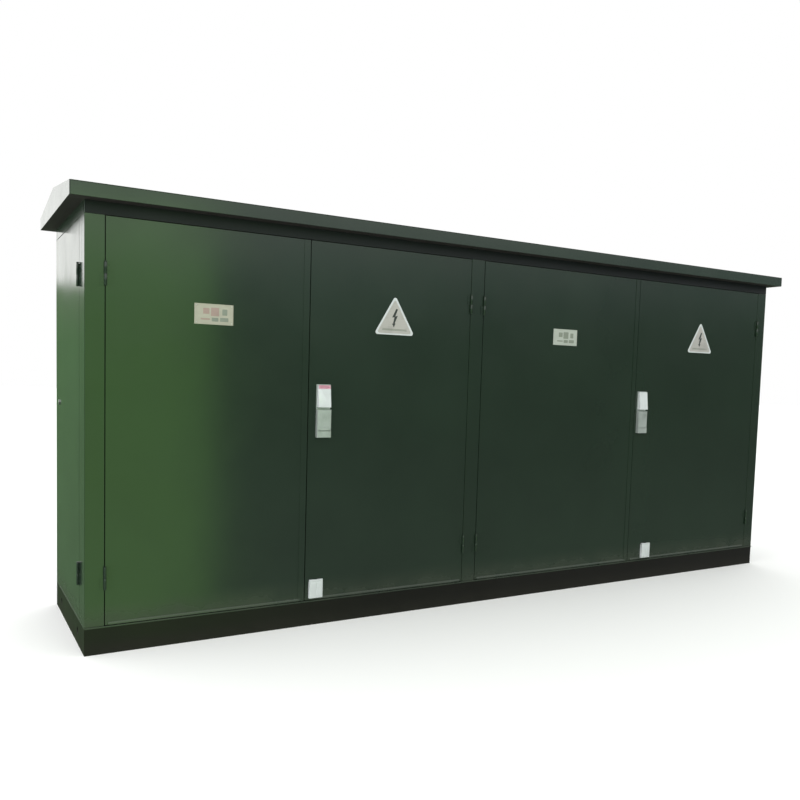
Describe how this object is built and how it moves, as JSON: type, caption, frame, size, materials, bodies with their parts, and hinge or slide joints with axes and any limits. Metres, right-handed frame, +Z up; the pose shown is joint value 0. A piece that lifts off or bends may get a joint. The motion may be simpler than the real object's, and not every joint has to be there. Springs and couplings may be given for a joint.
{
  "type": "pad-mounted transformer kiosk",
  "caption": "Sheet-steel outdoor transformer kiosk: gable roof, channel base, double-leaf bays with rod locks, oil transformer, switchgear and low-voltage board inside.",
  "frame": {"origin": "centre of the footprint, on the ground the base stands on", "axes": "+X along the length, towards the transformer bay; -Y is the door side; +Z up"},
  "size_m": [5.46, 1.21, 2.452],
  "materials": {
    "green_paint": "gloss polyester enamel sprayed on folded steel sheet",
    "base_steel": "black bitumen-type enamel on hot-rolled channel",
    "grey_paint": "light grey powder coat",
    "galvanised": "zinc-coated sheet with spangle",
    "zinc": "bright zinc plate",
    "stainless": "brushed stainless sheet",
    "lock_zinc": "satin die-cast zinc alloy",
    "lock_cover": "white gloss enamel over die-cast",
    "plate_aluminium": "satin anodised plate with etched bands",
    "seal_rubber": "extruded EPDM",
    "core_steel": "varnished silicon steel laminations",
    "copper": "bare rolled copper",
    "porcelain": "brown glaze",
    "black_plastic": "moulded",
    "dark_plastic": "moulded phenolic",
    "light_plastic": "moulded",
    "red_plastic": "moulded",
    "fuse_resin": "cast epoxy resin",
    "cable_jacket": "extruded cable sheath"
  },
  "bodies": {
    "kiosk": {"base_channels": "base_steel", "floor_plates": "grey_paint", "sill_frame": "green_paint", "wall_posts": "green_paint", "wall_rails": "green_paint", "stop_lips": "green_paint", "door_seals": "seal_rubber", "rear_panels": "green_paint", "right_end_panel": "green_paint", "partitions": "galvanised", "roof_cover": "green_paint", "roof_frame": "galvanised", "frame_hinges": "green_paint", "panel_bolts": "zinc", "tx_tank": "grey_paint", "tx_fins": "grey_paint", "tx_lid": "grey_paint", "tx_core": "core_steel", "tx_windings": "copper", "tx_hv_bushings": "porcelain", "tx_lv_bushings": "porcelain", "tx_fittings": "zinc", "hv_cubicle": "grey_paint", "hv_covers": "grey_paint", "hv_gas_tank": "stainless", "hv_fuses": "fuse_resin", "hv_cables": "cable_jacket", "lv_board": "galvanised", "lv_breakers": "dark_plastic", "lv_busbars": "copper"},
    "door_1": {"door_1_leaf": "green_paint", "name_plate_1": "plate_aluminium"},
    "door_2": {"door_2_leaf": "green_paint", "warning_sign_2": "plate_aluminium", "lock_2_body": "lock_zinc", "foot_bolt_2": "zinc"},
    "door_3": {"door_3_leaf": "green_paint", "name_plate_3": "plate_aluminium"},
    "door_4": {"door_4_leaf": "green_paint", "warning_sign_4": "plate_aluminium", "lock_4_body": "lock_zinc", "foot_bolt_4": "zinc"},
    "end_door": {"end_door_leaf": "green_paint"},
    "end_latch": {"end_door_latch": "zinc"},
    "lock_cover_2": {"lock_2_cover": "lock_cover"},
    "lock_handle_2": {"lock_2_handle": "lock_zinc"},
    "top_rod_2": {"lock_2_top_rod": "zinc"},
    "foot_rod_2": {"lock_2_foot_rod": "zinc"},
    "lock_cover_4": {"lock_4_cover": "lock_cover"},
    "lock_handle_4": {"lock_4_handle": "lock_zinc"},
    "top_rod_4": {"lock_4_top_rod": "zinc"},
    "foot_rod_4": {"lock_4_foot_rod": "zinc"},
    "foot_flap_2": {"foot_cover_2": "lock_cover"},
    "foot_flap_4": {"foot_cover_4": "lock_cover"},
    "tap_knob": {"tx_tap_knob": "black_plastic"},
    "hv_switch": {"hv_knob": "black_plastic"},
    "hv_earth": {"hv_earth_knob": "red_plastic"},
    "main_breaker": {"lv_knob": "black_plastic"},
    "feeder_1": {"lv_toggle_1": "light_plastic"},
    "feeder_2": {"lv_toggle_2": "light_plastic"}
  },
  "joints": [
    {"name": "door_1_swing", "type": "hinge", "parent": "kiosk", "child": "door_1", "pos_m": [-2.55, -0.533, 1.15], "axis": [0, 0, -1], "range_deg": [0, 120]},
    {"name": "door_2_swing", "type": "hinge", "parent": "kiosk", "child": "door_2", "pos_m": [-0.309, -0.533, 1.15], "axis": [0, 0, 1], "range_deg": [0, 85]},
    {"name": "door_3_swing", "type": "hinge", "parent": "kiosk", "child": "door_3", "pos_m": [-0.205, -0.533, 1.15], "axis": [0, 0, -1], "range_deg": [0, 85]},
    {"name": "door_4_swing", "type": "hinge", "parent": "kiosk", "child": "door_4", "pos_m": [2.55, -0.533, 1.15], "axis": [0, 0, 1], "range_deg": [0, 120]},
    {"name": "end_door_swing", "type": "hinge", "parent": "kiosk", "child": "end_door", "pos_m": [-2.658, -0.368, 1.15], "axis": [0, 0, 1], "range_deg": [0, 90]},
    {"name": "end_latch_turn", "type": "hinge", "parent": "end_door", "child": "end_latch", "pos_m": [-2.65, 0.396, 1.27], "axis": [-1, 0, 0], "range_deg": [0, 90]},
    {"name": "lock_2_cover_lift", "type": "hinge", "parent": "door_2", "child": "lock_cover_2", "pos_m": [-1.3345, -0.5365, 1.415], "axis": [-1, 0, 0], "range_deg": [0, 90]},
    {"name": "lock_2_handle_lift", "type": "hinge", "parent": "door_2", "child": "lock_handle_2", "pos_m": [-1.3345, -0.539, 1.267], "axis": [-1, 0, 0], "range_deg": [0, 80]},
    {"name": "top_rod_2_slide", "type": "slide", "parent": "door_2", "child": "top_rod_2", "axis": [0, 0, -1], "range_m": [0, 0.021]},
    {"name": "foot_rod_2_slide", "type": "slide", "parent": "door_2", "child": "foot_rod_2", "axis": [0, 0, 1], "range_m": [0, 0.021]},
    {"name": "foot_cover_2_lift", "type": "hinge", "parent": "door_2", "child": "foot_flap_2", "pos_m": [-1.3615, -0.534, 0.268], "axis": [-1, 0, 0], "range_deg": [0, 90]},
    {"name": "lock_4_cover_lift", "type": "hinge", "parent": "door_4", "child": "lock_cover_4", "pos_m": [1.2705, -0.5365, 1.415], "axis": [-1, 0, 0], "range_deg": [0, 90]},
    {"name": "lock_4_handle_lift", "type": "hinge", "parent": "door_4", "child": "lock_handle_4", "pos_m": [1.2705, -0.539, 1.267], "axis": [-1, 0, 0], "range_deg": [0, 80]},
    {"name": "top_rod_4_slide", "type": "slide", "parent": "door_4", "child": "top_rod_4", "axis": [0, 0, -1], "range_m": [0, 0.021]},
    {"name": "foot_rod_4_slide", "type": "slide", "parent": "door_4", "child": "foot_rod_4", "axis": [0, 0, 1], "range_m": [0, 0.021]},
    {"name": "foot_cover_4_lift", "type": "hinge", "parent": "door_4", "child": "foot_flap_4", "pos_m": [1.3775, -0.534, 0.268], "axis": [-1, 0, 0], "range_deg": [0, 90]},
    {"name": "tap_knob_turn", "type": "hinge", "parent": "kiosk", "child": "tap_knob", "pos_m": [1.65, -0.15, 1.175], "axis": [0, 0, 1], "range_deg": [-60, 60]},
    {"name": "hv_switch_turn", "type": "hinge", "parent": "kiosk", "child": "hv_switch", "pos_m": [-2.193, -0.33, 1.01], "axis": [0, -1, 0], "range_deg": [0, 90]},
    {"name": "hv_earth_turn", "type": "hinge", "parent": "kiosk", "child": "hv_earth", "pos_m": [-1.837, -0.33, 1.01], "axis": [0, -1, 0], "range_deg": [0, 90]},
    {"name": "main_breaker_turn", "type": "hinge", "parent": "kiosk", "child": "main_breaker", "pos_m": [-0.845, -0.3, 0.97], "axis": [0, -1, 0], "range_deg": [0, 90]},
    {"name": "feeder_1_toggle", "type": "hinge", "parent": "kiosk", "child": "feeder_1", "pos_m": [-1.095, -0.188, 0.56], "axis": [-1, 0, 0], "range_deg": [-35, 35]},
    {"name": "feeder_2_toggle", "type": "hinge", "parent": "kiosk", "child": "feeder_2", "pos_m": [-0.595, -0.188, 0.56], "axis": [-1, 0, 0], "range_deg": [-35, 35]}
  ],
  "couplings": [
    {"joint": "top_rod_2_slide", "follows": "lock_2_handle_lift", "m_per_rad": 0.0143},
    {"joint": "foot_rod_2_slide", "follows": "lock_2_handle_lift", "m_per_rad": 0.0143},
    {"joint": "top_rod_4_slide", "follows": "lock_4_handle_lift", "m_per_rad": 0.0143},
    {"joint": "foot_rod_4_slide", "follows": "lock_4_handle_lift", "m_per_rad": 0.0143}
  ]
}
